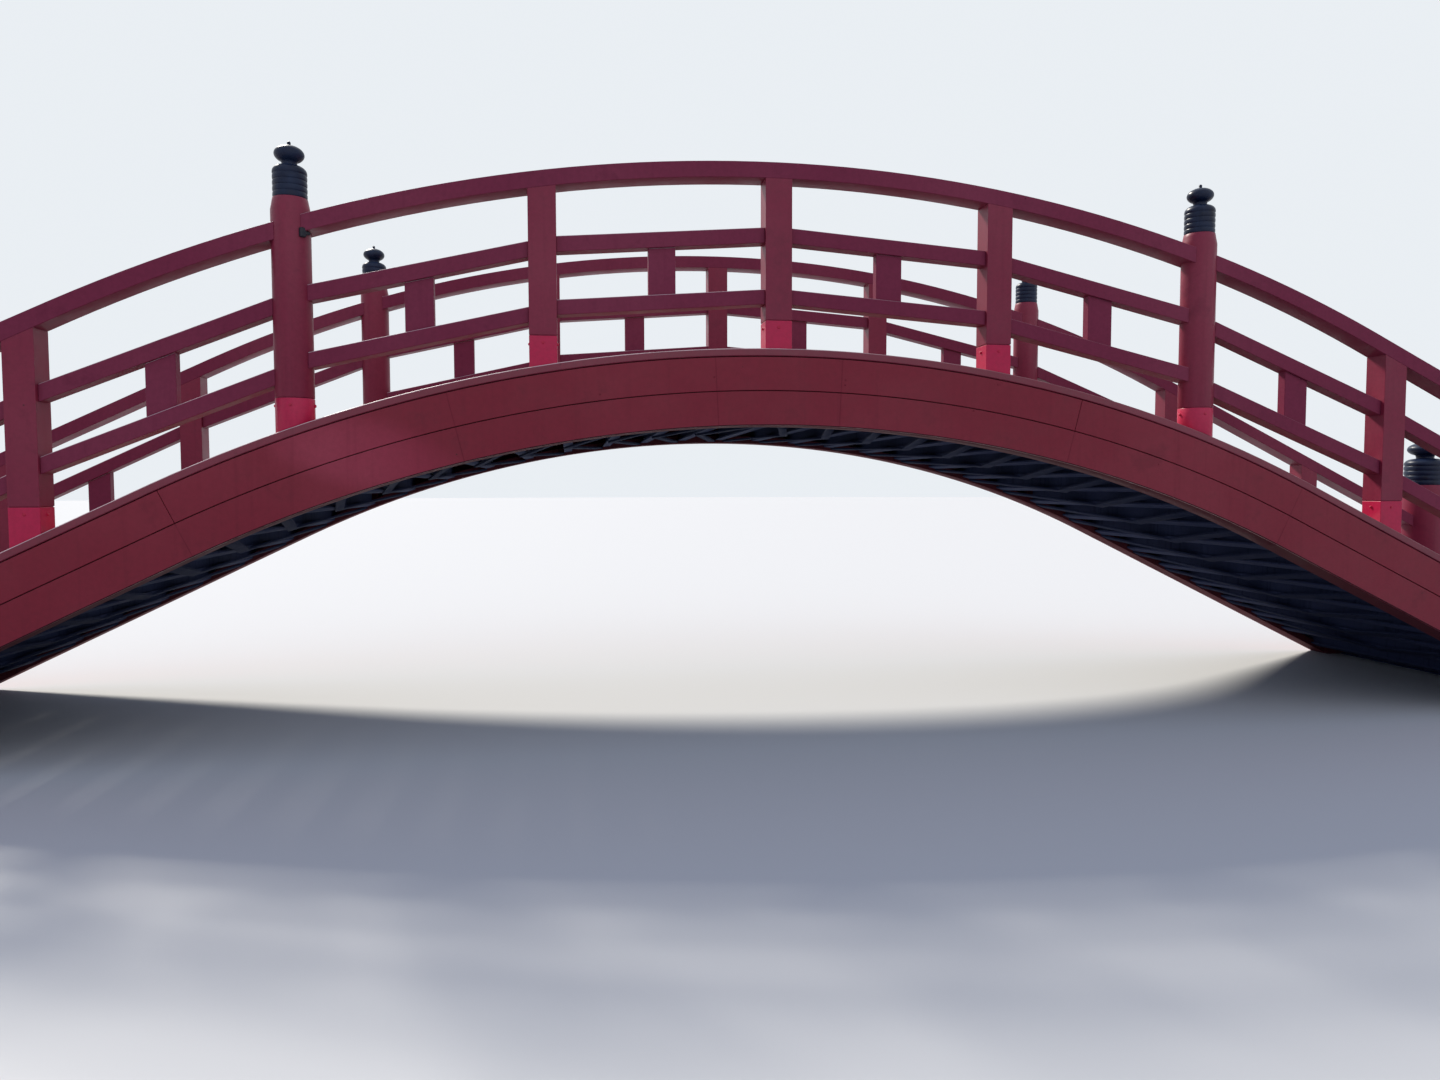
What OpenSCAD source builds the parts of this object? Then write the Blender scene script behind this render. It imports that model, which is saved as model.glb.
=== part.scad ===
// Arched footbridge: two edge girders on one arc that run out into straight ramps,
// a stepped deck between them, and a post and rail railing with onion-shaped post caps.
// X runs along the span, -Y is the front face, Z is up and the ground is z = 0.
// Every line of the bridge is the same curve set off by some distance: kerb top = 0,
// deeper into the girder is positive, up to the rails is negative.

/* [Arch] */
// Kerb top above the ground at the middle of the span
crown_h = 2250; // [2200:10:2300]
// Radius of the kerb top line over the middle of the span
arc_r = 7620; // [7500:10:7700]
// Slope of the straight ramps that follow the arc at each end
ramp_deg = 25.9; // [25.5:0.1:26.3]
// Spacing of the railing posts along the span
bay = 1300; // [1290:5:1310]
// Distance between the two lines of posts
track = 2300; // [2200:10:2400]

/* [Edge girder] */
// Width of the kerb that carries the posts
kerb_w = 200; // [200:2:220]
// Height of the kerb strip
kerb_h = 43; // [40:1:48]
// Open joint between the kerb, the upper band and the lower band
seam = 5; // [4:1:7]
// Height of the upper cover band
upper_h = 184; // [176:2:190]
// Height of the lower cover band
lower_h = 190; // [184:2:196]
// Thickness of the cover bands
cover_t = 18; // [14:1:20]
// Length along the span of one panel of the cover bands
panel = 1458; // [1440:6:1476]
// Length of the short panel at the crown
crown_panel = 730; // [700:10:760]
// Open joint between neighbouring panels
panel_gap = 2.5; // [1.5:0.5:4]
// Thickness of the web and flanges
plate_t = 20; // [16:1:24]
// Upturned lip on the inner edge of the bottom flange
lip_h = 34; // [24:2:44]

/* [Deck] */
// Depth of one step along the span
going = 293; // [288:1:298]
// Thickness of a step plate
tread_t = 45; // [38:1:50]
// Thickness of the riser plate under a step's edge
riser_t = 12; // [8:1:16]
// Drop of a step's edge below the kerb top
deck_drop = 30; // [24:1:40]
// Open joint between neighbouring steps
step_gap = 2; // [1:0.5:4]
// Width of a cross beam's flanges
beam_w = 60; // [50:2:80]
// Thickness of a cross beam's web and flanges
beam_t = 12; // [10:1:16]
// Width of a diagonal brace
brace_w = 55; // [40:5:70]
// Thickness of a diagonal brace
brace_t = 12; // [8:1:16]

/* [Ends] */
// Height of the level kerb and plinths at each end
landing_h = 110; // [100:5:120]
// Height of the level landing between the plinths
landing_t = 60; // [50:5:70]
// Level kerb between the foot of a ramp and the plinth
foot_run = 36; // [24:2:80]
// Side of the square plinth under each end post
plinth = 420; // [400:10:440]

/* [Posts] */
// Side of a square post
post_w = 150; // [140:2:160]
// Diameter of a round post
round_d = 198; // [190:2:200]
// Diameter of an end post
end_d = 360; // [340:5:380]
// Height of an end post's shaft above the ground
end_h = 1480; // [1440:10:1520]
// Height of an end post's cap for its width, 1 being as on the round posts
end_cap = 0.76; // [0.7:0.02:1]
// Height of a round post's shaft above the kerb
round_h = 1196; // [1180:2:1220]
// Height of the base sleeve of a square post above the kerb line
sleeve_h = 157; // [140:2:170]
// The same for a round post
round_sleeve_h = 146; // [130:2:160]
// Shadow joint above a sleeve
shadow = 4; // [3:1:6]

/* [Rails] */
// Top rail's upper face above the kerb line
top_at = 1026; // [1010:2:1040]
// Height of the top rail
top_h = 87; // [80:1:94]
// Depth of the top rail from front to back
top_d = 150; // [130:2:150]
// Middle rail's upper face above the kerb line
mid_at = 682; // [670:2:694]
// Height of the middle rail
mid_h = 84; // [76:1:90]
// Depth of the middle rail
mid_d = 98; // [84:2:110]
// Lower rail's upper face above the kerb line
low_at = 342; // [330:2:352]
// Height of the lower rail
low_h = 82; // [74:1:90]
// Depth of the lower rail
low_d = 110; // [90:2:124]
// Width of the short strut between the lower and middle rails
strut_w = 150; // [130:2:160]
// Depth of the strut
strut_d = 64; // [50:2:76]

/* [Hidden] */
$fn = 96;

// Clear joint where two curved faces meet, and how far a ramp lies inside the tangent
fit = 0.3;
ramp_set = 0.05;
// Arc centre height, and the outer and inner face of the girders
arc_cz = crown_h - arc_r;
face_y = track / 2 + kerb_w / 2;
inner_y = track / 2 - kerb_w / 2;
// Where the ramp comes down to the level kerb, then the girder's end, the end post, the end
landing_x = line_x(0, landing_h);
girder_end = landing_x + foot_run;
end_x = girder_end + plinth / 2;
half_len = girder_end + plinth;
// Posts to each side of the middle one, the last being the end post, and the round one
round_at = 2;
half_posts = max(round_at + 1, round(end_x / bay));
// Depths of the seams below the kerb top
upper_at = kerb_h + seam;
lower_at = upper_at + upper_h + seam;
depth = lower_at + lower_h;
// Places of the panel joints in the cover bands
last_joint = floor((girder_end - crown_panel / 2) / panel - 0.5);
panel_joints = [for (s = [-1, 1], k = [0 : last_joint]) s * (crown_panel / 2 + k * panel)];
// Half width of the steps, and the numbers of the last step and brace
step_y = inner_y - 4;
last_step = floor(landing_x / going - 0.5);
last_brace = floor(line_x(depth, 60) / going) - 2;
// Depth below ground to which flat regions run before they are cut off
deep = 1.5 * crown_h;

// Height at span position x of the line that lies off below the kerb top
function line_z(off, x) =
    let (r = arc_r - off, xt = r * sin(ramp_deg))
    abs(x) <= xt ? arc_cz + sqrt(r * r - x * x)
                 : arc_cz + r * cos(ramp_deg) - (abs(x) - xt) * tan(ramp_deg);
// Span position at which that line has come down to height z on the ramp
function line_x(off, z) =
    let (r = arc_r - off)
    r * sin(ramp_deg) + (arc_cz + r * cos(ramp_deg) - z) / tan(ramp_deg);
// Slope angle of the lines at x
function tilt(x) = min(ramp_deg, asin(min(1, abs(x) / arc_r)));
// Top of the step numbered k from the middle, at its outer edge
function step_z(k) =
    k > last_step ? landing_t : line_z(0, (k + 0.5) * going) - deck_drop;
// Place of post i along the span
function post_x(i) = abs(i) == half_posts ? sign(i) * end_x : i * bay;
// Top of a post's sleeve
function sleeve_z(i) =
    line_z(0, i * bay) + (abs(i) == round_at ? round_sleeve_h : sleeve_h) / cos(tilt(i * bay));
// Diameter or width that a rail meets at post i
function post_size(i) = abs(i) == half_posts ? end_d : abs(i) == round_at ? round_d : post_w;

// Flat region below a line of the bridge: the wedge under both ramps, with its peak
// rounded off by the arc. The ramps lie a hair inside the tangent, so that arc and ramp
// cross at one clear point.
module under_line(off) {
    r = arc_r - off;
    xt = r * sin(ramp_deg);
    zt = arc_cz + r * cos(ramp_deg) - ramp_set;
    xe = half_len + plinth;
    ze = zt - (xe - xt) * tan(ramp_deg);
    intersection() {
        polygon([[-xe, -deep], [xe, -deep], [xe, ze], [0, zt + xt * tan(ramp_deg)], [-xe, ze]]);
        union() {
            translate([0, arc_cz]) circle(r = r, $fn = 360);
            translate([xt, -deep]) square([xe, 2 * deep]);
            translate([-xt - xe, -deep]) square([xe, 2 * deep]);
        }
    }
}

// The same with the level stretch at each end of the kerb
module under_kerb(off) {
    under_line(off);
    translate([-half_len, -deep]) square([2 * half_len, landing_h - off + deep]);
}

// Stand a side view up, from y0 to y1
module stand(y0, y1) {
    translate([0, y1, 0]) rotate([90, 0, 0]) linear_extrude(y1 - y0) children();
}

// Side view of a strip of the girder between two depths, cut off at the ground
module strip(from, to) {
    intersection() {
        difference() { under_kerb(from); under_kerb(to); }
        translate([-girder_end, 0]) square([2 * girder_end, 2 * crown_h]);
    }
}

// Thin cut square to the lines at span position x
module joint_cut(x) {
    translate([x, line_z(0, x)]) rotate(-sign(x) * tilt(x))
        translate([-panel_gap / 2, -1.1 * depth]) square([panel_gap, 1.2 * depth]);
}

module band(from, to) {
    stand(-face_y, -face_y + cover_t) difference() {
        strip(from, to);
        for (x = panel_joints) joint_cut(x);
    }
}

// Side view of the channel's hollow, kept clear of the ground and of the stiffeners
module hollow(lip) {
    x1 = line_x(kerb_h + plate_t, 2 * plate_t);
    difference() {
        intersection() {
            difference() { under_line(kerb_h + plate_t); under_line(depth - plate_t - lip); }
            translate([-x1, plate_t + lip]) square([2 * x1, 2 * crown_h]);
        }
        if (lip == 0) for (i = [-half_posts + 1 : half_posts - 1])
            translate([i * bay - plate_t / 4, 0]) square([plate_t / 2, 2 * crown_h]);
    }
}

// Channel open towards the walkway: web, flanges, lip, and a stiffener under each post
module girder() {
    y0 = -face_y + cover_t;
    y1 = -inner_y;
    difference() {
        stand(y0, y1) strip(kerb_h + fit, depth);
        stand(y0 + plate_t, y1 - plate_t) hollow(0);
        stand(y1 - plate_t, y1 + 1) hollow(lip_h);
    }
}

module kerb() { stand(-face_y, -inner_y) strip(0, kerb_h); }

// Upright prism on the post line at post i, down into the kerb
module post_prism(i, size, z0, z1) {
    translate([i * bay, -track / 2, z0]) {
        if (size == post_w) translate([-size / 2, -size / 2, 0]) cube([size, size, z1 - z0]);
        else cylinder(d = size, h = z1 - z0);
    }
}

module sleeve(i) {
    difference() {
        post_prism(i, post_size(i), line_z(0, i * bay) - post_w, sleeve_z(i));
        stand(-face_y - 1, -inner_y + 1) under_kerb(-fit);
    }
}

// Square post with a narrower foot that leaves a shadow joint above its sleeve
module square_post(i) {
    difference() {
        union() {
            post_prism(i, post_w, sleeve_z(i) + shadow, line_z(-top_at, i * bay));
            translate([i * bay - post_w / 2 + shadow, -track / 2 - post_w / 2 + shadow, sleeve_z(i)])
                cube([post_w - 2 * shadow, post_w - 2 * shadow, 2 * shadow]);
        }
        stand(-face_y - 1, -inner_y + 1) difference() {
            under_line(-top_at - 2 * top_h);
            under_line(-top_at + top_h + fit);
        }
    }
}

// Round shaft that draws in under its cap, from z0 to z1
module shaft(d, z0, z1) {
    rotate_extrude() polygon([
        [0, z0], [d / 2 - shadow, z0], [d / 2 - shadow, z0 + shadow], [d / 2, z0 + shadow],
        [d / 2, z1 - 0.32 * d], [cap_r(d) + 1, z1], [0, z1]]);
}

// Radius of the cap's body on a post of diameter d
function cap_r(d) = 0.435 * d;

// Onion cap: body of round beads, rounded shoulder, thin neck, flattened bulb and a small
// tip. The outline is written in shares of the post's diameter; tall stretches it upwards.
module finial(d, tall) {
    r = cap_r(1);
    beads = 4;
    bead = 0.155;
    groove = 0.03;
    body_h = beads * bead;
    neck_z = body_h + 0.26;
    bulb_r = 0.38;
    bulb_h = 0.23;
    bulb_z = neck_z + 0.05 + bulb_h;
    top = bulb_z + bulb_h;
    profile = concat(
        [[0, 0], [r - groove, 0]],
        [for (g = [0 : beads - 1]) each
            [for (a = [-90 : 30 : 90])
                [r - groove + groove * cos(a), (g + 0.5) * bead + 0.45 * bead * sin(a)]]],
        [[r - groove, body_h + 0.0075], [r, body_h + 0.025]],
        [for (a = [0 : 15 : 90]) [r - 0.23 + 0.23 * cos(a), body_h + 0.06 + 0.18 * sin(a)]],
        [[0.19, neck_z], [0.19, neck_z + 0.04]],
        [for (a = [-55 : 10 : 75]) [bulb_r * cos(a), bulb_z + bulb_h * sin(a)]],
        [[0.065, top + 0.005], [0.0375, top + 0.03], [0.0375, top + 0.07],
         [0.02, top + 0.095], [0, top + 0.1]]);
    rotate_extrude() polygon([for (q = profile) [q[0] * d, q[1] * d * tall]]);
}

module round_posts() {
    for (s = [-1, 1]) translate([s * round_at * bay, -track / 2, 0])
        shaft(round_d, sleeve_z(s * round_at), line_z(0, round_at * bay) + round_h);
}

module finials() {
    for (s = [-1, 1])
        translate([s * round_at * bay, -track / 2, line_z(0, round_at * bay) + round_h])
            finial(round_d, 1);
}

// Hole in a rail where it meets a round or end post
module post_hole(i) {
    d = post_size(i) + 2 * fit;
    translate([post_x(i), -track / 2, -10]) cylinder(d = d, h = 2 * crown_h);
}

module top_rail() {
    difference() {
        stand(-track / 2 - top_d / 2, -track / 2 + top_d / 2) intersection() {
            difference() { under_line(-top_at); under_line(-top_at + top_h); }
            translate([-end_x, 0]) square([2 * end_x, 2 * crown_h]);
        }
        for (i = [-half_posts, -round_at, round_at, half_posts]) post_hole(i);
    }
}

// Straight rail from post i to the next: it runs parallel to the top rail over its bay, and
// at the middle of the bay its upper face is at a height above the kerb line
function rail_pt(i, at) = [post_x(i), line_z(-at, post_x(i))];
function rail_mid(i, at) = (rail_pt(i, at) + rail_pt(i + 1, at)) / 2;
function rail_slope(i) =
    let (d = rail_pt(i + 1, top_at) - rail_pt(i, top_at)) d[1] / d[0];
function rail_z(i, at, x) =
    let (m = rail_mid(i, at)) m[1] + rail_slope(i) * (x - m[0]);
module rail_shape(i, at, h, x0, x1) {
    v = h * sqrt(1 + rail_slope(i) * rail_slope(i));
    polygon([[x0, rail_z(i, at, x0) - v], [x1, rail_z(i, at, x1) - v],
             [x1, rail_z(i, at, x1)], [x0, rail_z(i, at, x0)]]);
}

module rails(at, h, d) {
    difference() {
        stand(-track / 2 - d / 2, -track / 2 + d / 2)
            for (i = [-half_posts : half_posts - 1])
                rail_shape(i, at, h,
                    post_x(i) + (post_size(i) == post_w ? post_w / 2 : 0),
                    post_x(i + 1) - (post_size(i + 1) == post_w ? post_w / 2 : 0));
        for (i = [-half_posts, -round_at, round_at, half_posts]) post_hole(i);
    }
}

// Short strut at the middle of each bay, cut to both rails
module struts() {
    stand(-track / 2 - strut_d / 2, -track / 2 + strut_d / 2)
        for (i = [-half_posts : half_posts - 1]) {
            x0 = (post_x(i) + post_x(i + 1)) / 2 - strut_w / 2;
            x1 = x0 + strut_w;
            v = mid_h * sqrt(1 + rail_slope(i) * rail_slope(i));
            polygon([[x0, rail_z(i, low_at, x0)], [x1, rail_z(i, low_at, x1)],
                     [x1, rail_z(i, mid_at, x1) - v], [x0, rail_z(i, mid_at, x0) - v]]);
        }
}

module end_posts() {
    for (s = [-1, 1]) for (t = [-1, 1])
        translate([s * end_x, t * track / 2, 0]) shaft(end_d, landing_h, end_h);
}

module end_finials() {
    for (s = [-1, 1]) for (t = [-1, 1])
        translate([s * end_x, t * track / 2, end_h]) finial(end_d, end_cap);
}

module plinths() {
    for (s = [-1, 1]) for (t = [-1, 1])
        translate([s * end_x - plinth / 2, t * track / 2 - plinth / 2, 0])
            cube([plinth, plinth, landing_h]);
}

// One step: plate, and a riser down to the next step where there is room for one
module step(k) {
    z = step_z(k);
    zn = step_z(k + 1) + step_gap;
    x0 = (k - 0.5) * going + step_gap / 2 + (k > 0 ? 0 : -step_gap / 2);
    x1 = (k + 0.5) * going - step_gap / 2;
    stand(-step_y, step_y) {
        translate([x0, z - tread_t]) square([x1 - x0, tread_t]);
        if (z - tread_t > zn) translate([x1 - riser_t, zn]) square([riser_t, z - tread_t - zn + 1]);
    }
}

module steps(s) {
    if (s > 0) for (k = [1 : last_step]) step(k);
    else mirror([1, 0, 0]) for (k = [1 : last_step]) step(k);
}

module crown_step() {
    stand(-step_y, step_y) translate([-going / 2 + step_gap / 2, step_z(0) - tread_t])
        square([going - step_gap, tread_t]);
}

// Level slab on the ground from the last step out between the plinths
module landing(s) {
    x0 = (last_step + 0.5) * going + step_gap / 2;
    y1 = min(step_y, track / 2 - plinth / 2);
    mirror([s > 0 ? 0 : 1, 0, 0]) {
        translate([x0, -y1, 0]) cube([half_len - x0, 2 * y1, landing_t]);
        translate([x0, -step_y, 0]) cube([girder_end - x0, 2 * step_y, landing_t]);
    }
}

// Cross beam of I section under the step k, standing on the bottom flanges between the
// webs. Its lower flange lies along the slope and its upper flange is level.
module beam(k) {
    x = k * going;
    yb = face_y - cover_t - plate_t;
    top = step_z(k) - tread_t;
    difference() {
        stand(-yb, yb) difference() {
            translate([x - beam_w / 2, 0]) square([beam_w, top]);
            under_line(depth - plate_t - fit);
            for (s = [-1, 1]) difference() {
                translate([x + s * (beam_w + beam_t) / 2 - beam_w / 2, beam_t])
                    square([beam_w, top - 2 * beam_t]);
                under_line(depth - plate_t - fit - beam_t);
            }
        }
        // Notch over the lips of the bottom flanges
        for (t = [-1, 1]) translate([0, t * (inner_y + plate_t / 2), 0])
            stand(-plate_t / 2 - 2, plate_t / 2 + 2) under_line(depth - plate_t - lip_h - 4);
        // Over the foot plate and its lip where the girder lies on the ground
        for (t = [-1, 1]) {
            translate([x - beam_w, t > 0 ? inner_y : -face_y, -10])
                cube([2 * beam_w, kerb_w, plate_t + 10]);
            translate([x - beam_w, t * (inner_y + plate_t / 2) - plate_t / 2 - 2, -10])
                cube([2 * beam_w, plate_t + 4, plate_t + lip_h + 14]);
        }
        // Clear of the stiffeners
        for (i = [-half_posts + 1 : half_posts - 1])
            if (abs(i * bay - x) < beam_w / 2 + plate_t) for (t = [-1, 1])
                translate([x - beam_w, t > 0 ? inner_y - 4 : -face_y, -10])
                    cube([2 * beam_w, kerb_w + 4, 2 * crown_h]);
    }
}

// The outermost beams stand on the ground
module beams(s) {
    mirror([s > 0 ? 0 : 1, 0, 0]) for (k = [1 : last_step]) beam(k);
}

// V of two flat bars under each bay between beams: point at the lower beam's middle
module braces(s) {
    mirror([s > 0 ? 0 : 1, 0, 0]) intersection() {
        stand(-inner_y + fit, inner_y - fit) difference() {
            under_line(depth - plate_t);
            under_line(depth - plate_t + brace_t);
        }
        translate([0, 0, 0.5]) linear_extrude(2 * crown_h) for (k = [0 : last_brace]) {
            x0 = k * going + brace_w;
            x1 = (k + 1) * going;
            for (t = [-1, 1]) polygon([
                [x0 - brace_w / 2, t * inner_y], [x0 + brace_w / 2, t * inner_y],
                [x1 + brace_w / 2, 0], [x1 - brace_w / 2, 0]]);
        }
    }
}

module rear() { mirror([0, 1, 0]) children(); }

module square_posts() {
    for (i = [-half_posts + 1 : half_posts - 1]) if (abs(i) != round_at) square_post(i);
}

module sleeves() {
    for (i = [-half_posts + 1 : half_posts - 1]) sleeve(i);
}

red = [0.42, 0.07, 0.09];
bright = [0.75, 0.08, 0.10];
dark = [0.10, 0.11, 0.13];
steel = [0.22, 0.20, 0.22];
wood = [0.40, 0.30, 0.22];
stone = [0.55, 0.54, 0.51];

color(steel) girder();  // front_girder
color(steel) rear() girder();  // rear_girder
color(red) kerb();  // front_kerb
color(red) rear() kerb();  // rear_kerb
color(red)  // front_upper_band
    band(upper_at, upper_at + upper_h);
color(red)  // rear_upper_band
    rear() band(upper_at, upper_at + upper_h);
color(red)  // front_lower_band
    band(lower_at, depth);
color(red)  // rear_lower_band
    rear() band(lower_at, depth);
color(red) square_posts();  // front_square_posts
color(red) rear() square_posts();  // rear_square_posts
color(red) round_posts();  // front_round_posts
color(red) rear() round_posts();  // rear_round_posts
color(bright) sleeves();  // front_sleeves
color(bright) rear() sleeves();  // rear_sleeves
color(dark) finials();  // front_finials
color(dark) rear() finials();  // rear_finials
color(red) top_rail();  // front_top_rail
color(red) rear() top_rail();  // rear_top_rail
color(red) rails(mid_at, mid_h, mid_d);  // front_mid_rails
color(red) rear() rails(mid_at, mid_h, mid_d);  // rear_mid_rails
color(red) rails(low_at, low_h, low_d);  // front_low_rails
color(red) rear() rails(low_at, low_h, low_d);  // rear_low_rails
color(red) struts();  // front_struts
color(red) rear() struts();  // rear_struts
color(red) end_posts();
color(dark) end_finials();
color(stone) plinths();
color(stone) landing(-1);  // left_landing
color(stone) landing(1);  // right_landing
color(wood) steps(-1);  // left_steps
color(wood) steps(1);  // right_steps
color(wood) crown_step();
color(steel) beams(-1);  // left_cross_beams
color(steel) beams(1);  // right_cross_beams
color(steel) beam(0);  // crown_beam
color(steel) braces(-1);  // left_braces
color(steel) braces(1);  // right_braces
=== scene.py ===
"""Looks of an arched red footbridge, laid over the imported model.

The sections follow the bridge as it is put together: cover bands, kerbs and girders, cross
beams, steps, posts with sleeves, caps, rails, and the feet at both ends. The studio comes last.
Lengths are metres.
"""

from math import cos, pi, radians, sin, tan

import bpy
import numpy as np
from mathutils import Matrix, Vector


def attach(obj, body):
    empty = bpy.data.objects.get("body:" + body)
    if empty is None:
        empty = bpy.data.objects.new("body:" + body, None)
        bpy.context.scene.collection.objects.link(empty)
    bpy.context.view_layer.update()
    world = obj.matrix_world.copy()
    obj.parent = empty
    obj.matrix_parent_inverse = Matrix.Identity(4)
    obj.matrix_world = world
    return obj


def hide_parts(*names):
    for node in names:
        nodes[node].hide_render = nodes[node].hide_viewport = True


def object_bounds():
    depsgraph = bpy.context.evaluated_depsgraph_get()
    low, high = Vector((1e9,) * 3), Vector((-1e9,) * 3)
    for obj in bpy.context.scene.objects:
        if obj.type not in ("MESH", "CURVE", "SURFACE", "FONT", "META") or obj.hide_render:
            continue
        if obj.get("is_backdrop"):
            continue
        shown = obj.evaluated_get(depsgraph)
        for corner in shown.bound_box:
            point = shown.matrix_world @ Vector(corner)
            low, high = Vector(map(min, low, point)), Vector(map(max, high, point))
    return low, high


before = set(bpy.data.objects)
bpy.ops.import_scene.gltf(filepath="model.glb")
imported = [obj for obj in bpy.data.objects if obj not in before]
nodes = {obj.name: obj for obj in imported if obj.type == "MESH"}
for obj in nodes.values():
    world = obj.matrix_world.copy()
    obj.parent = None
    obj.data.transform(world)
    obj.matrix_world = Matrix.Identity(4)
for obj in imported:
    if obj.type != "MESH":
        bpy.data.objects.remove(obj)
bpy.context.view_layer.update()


# Cover bands, kerbs and girders: folded steel plate, welded in the shop, painted a deep red in
# several coats and hung on the edge girders in long panels. Years of sun and salt air have
# dulled the coat, and rain has drawn faint runs down it.

crown_z, arc_r, ramp = 2.25, 7.62, radians(25.9)


def line_z(x):
    """Height of the kerb top at x: a circle whose centre lies arc_r below the crown, and past
    the ramp's slope its straight tangent."""
    a, centre_z, turn = np.abs(x), crown_z - arc_r, arc_r * sin(ramp)
    on_arc = centre_z + np.sqrt(np.maximum(arc_r * arc_r - a * a, 0.0))
    on_ramp = centre_z + arc_r * cos(ramp) - (a - turn) * tan(ramp)
    return np.where(a <= turn, on_arc, on_ramp)


def feed(socket, value):
    """Links an input to the socket that feeds it, or sets it to a number or a colour."""
    if isinstance(value, bpy.types.NodeSocket):
        socket.id_data.links.new(value, socket)
    elif isinstance(value, tuple) and len(value) == 3 and socket.type == "RGBA":
        socket.default_value = (*value, 1.0)
    else:
        socket.default_value = value


def sums(tree, job, *parts, clamp=False):
    """One Math node: the parts added, multiplied or compared, as job says."""
    n = tree.nodes.new("ShaderNodeMath")
    n.operation, n.use_clamp = job, clamp
    for socket, part in zip(n.inputs, parts):
        feed(socket, part)
    return n.outputs[0]


def blend(tree, share, first, second, job="MIX"):
    """Colour that goes from first to second, or to their product, as share goes from 0 to 1."""
    n = tree.nodes.new("ShaderNodeMix")
    n.data_type, n.blend_type = "RGBA", job
    feed(n.inputs[0], share)
    feed(n.inputs[6], first)
    feed(n.inputs[7], second)
    return n.outputs[2]


def ease(tree, value, low, high, start=0.0, end=1.0):
    """Smooth step of value from start at low to end at high."""
    n = tree.nodes.new("ShaderNodeMapRange")
    n.interpolation_type = "SMOOTHSTEP"
    for socket, part in zip(n.inputs, (value, low, high, start, end)):
        feed(socket, part)
    return n.outputs[0]


def stretch(tree, place, by):
    """Place times by, axis by axis, so that a pattern is drawn out along an axis."""
    n = tree.nodes.new("ShaderNodeVectorMath")
    n.operation = "MULTIPLY"
    feed(n.inputs[0], place)
    n.inputs[1].default_value = by
    return n.outputs[0]


def cloud(tree, place, scale, detail=4.0, rough=0.55, warp=0.0):
    """Fractal noise from 0 to 1 at place, with features about 1/scale metres across."""
    n = tree.nodes.new("ShaderNodeTexNoise")
    feed(n.inputs["Vector"], place)
    feed(n.inputs["Scale"], scale)
    n.inputs["Detail"].default_value = detail
    n.inputs["Roughness"].default_value = rough
    n.inputs["Distortion"].default_value = warp
    return n.outputs["Fac"]


def dots(tree, place, scale, radius, share):
    """Round spots: 1 inside radius of the points of a Voronoi pattern, soft at the rim, kept
    only at the share of points whose random colour is low enough."""
    n = tree.nodes.new("ShaderNodeTexVoronoi")
    feed(n.inputs["Vector"], place)
    n.inputs["Scale"].default_value = scale
    split = tree.nodes.new("ShaderNodeSeparateColor")
    feed(split.inputs[0], n.outputs["Color"])
    size = sums(tree, "MULTIPLY", split.outputs[1], radius * scale)
    near = ease(tree, sums(tree, "DIVIDE", n.outputs["Distance"], size), 1.0, 0.6)
    kept = sums(tree, "LESS_THAN", split.outputs[0], share)
    return sums(tree, "MULTIPLY", near, kept)


def facing(tree):
    """How far a surface looks along X, along Y and up, each from -1 to 1."""
    g = tree.nodes.new("ShaderNodeNewGeometry")
    s = tree.nodes.new("ShaderNodeSeparateXYZ")
    feed(s.inputs[0], g.outputs["True Normal"])
    return s.outputs


def object_place(tree):
    """Place on a piece, which is its place in the model, in metres."""
    return tree.nodes.new("ShaderNodeTexCoord").outputs["Object"]


def new_group(name, takes):
    """Empty node group with the named inputs (name: default). It gives a colour, a roughness
    and a height that changes over the surface."""
    tree = bpy.data.node_groups.new(name, "ShaderNodeTree")
    for key, default in takes.items():
        kind = "NodeSocketColor" if isinstance(default, tuple) else "NodeSocketFloat"
        s = tree.interface.new_socket(key, in_out="INPUT", socket_type=kind)
        s.default_value = (*default, 1.0) if isinstance(default, tuple) else default
    for key, kind in (("Colour", "Color"), ("Roughness", "Float"), ("Height", "Float")):
        tree.interface.new_socket(key, in_out="OUTPUT", socket_type="NodeSocket" + kind)
    given = tree.nodes.new("NodeGroupInput").outputs
    return tree, given, tree.nodes.new("NodeGroupOutput").inputs


def painted_sheen_patch(tree, place):
    """1 at the middle of a long painted sheen on the front, a lighter, pinker patch of painted
    reflection, eased to 0 at its rim: an ellipse that leans down to the right, where the squares
    of the places along and across it, each over its half width, add up to 1."""
    x, z, lean, long, wide = -2.25, 1.66, 0.26, 0.62, 0.24
    where = tree.nodes.new("ShaderNodeSeparateXYZ")
    feed(where.inputs[0], place)
    dx = sums(tree, "SUBTRACT", where.outputs[0], x)
    dz = sums(tree, "SUBTRACT", where.outputs[2], z)
    along = sums(tree, "MULTIPLY_ADD", dx, cos(lean) / long,
                 sums(tree, "MULTIPLY", dz, -sin(lean) / long))
    across = sums(tree, "MULTIPLY_ADD", dx, sin(lean) / wide,
                  sums(tree, "MULTIPLY", dz, cos(lean) / wide))
    far = sums(tree, "MULTIPLY_ADD", along, along, sums(tree, "MULTIPLY", across, across))
    front = sums(tree, "LESS_THAN", where.outputs[1], 0.0)
    return sums(tree, "MULTIPLY", ease(tree, far, 1.0, 0.0), front)


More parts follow.
